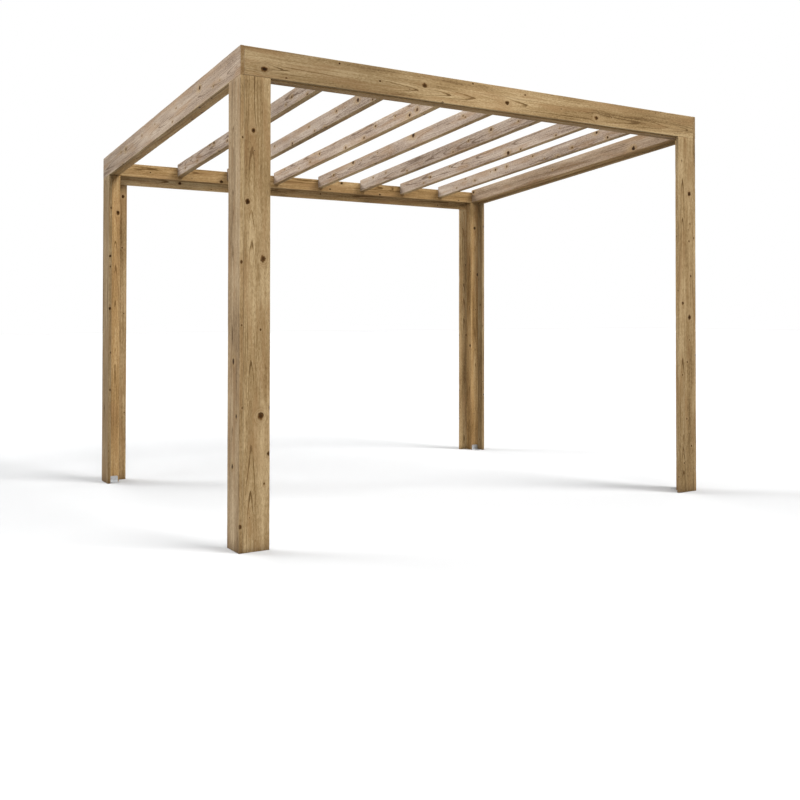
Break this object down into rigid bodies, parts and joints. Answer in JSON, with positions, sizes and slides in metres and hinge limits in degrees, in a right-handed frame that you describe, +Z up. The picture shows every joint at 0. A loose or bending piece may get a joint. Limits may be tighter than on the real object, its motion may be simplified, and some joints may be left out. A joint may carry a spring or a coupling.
{
  "type": "wooden pergola",
  "caption": "Open wooden garden pergola with built-up corner posts, board-faced beams and a row of rafters on a roof that falls to the rear.",
  "frame": {"origin": "middle of the footprint, on the ground", "axes": "+X to the right along the front, +Y to the rear, +Z up"},
  "size_m": [3.06, 2.53, 2.4],
  "materials": {
    "post_timber": "planed pressure-treated softwood",
    "facing_board": "planed pressure-treated softwood",
    "beam_timber": "planed pressure-treated softwood",
    "rafter_timber": "planed pressure-treated softwood",
    "bracket_steel": "galvanised sheet"
  },
  "bodies": {
    "root": {"front_left_post": "post_timber", "front_right_post": "post_timber", "rear_left_post": "post_timber", "rear_right_post": "post_timber", "front_left_side_board": "facing_board", "front_right_side_board": "facing_board", "rear_left_side_board": "facing_board", "rear_right_side_board": "facing_board", "front_left_face_board": "facing_board", "front_right_face_board": "facing_board", "rear_left_face_board": "facing_board", "rear_right_face_board": "facing_board", "front_beam": "beam_timber", "rear_beam": "beam_timber", "left_beam": "beam_timber", "right_beam": "beam_timber", "front_fascia": "facing_board", "rear_fascia": "facing_board", "left_fascia": "facing_board", "right_fascia": "facing_board", "rafter_1": "rafter_timber", "rafter_2": "rafter_timber", "rafter_3": "rafter_timber", "rafter_4": "rafter_timber", "rafter_5": "rafter_timber", "rafter_6": "rafter_timber", "rafter_7": "rafter_timber", "front_left_bracket": "bracket_steel", "front_right_bracket": "bracket_steel", "rear_left_bracket": "bracket_steel", "rear_right_bracket": "bracket_steel"}
  },
  "joints": []
}
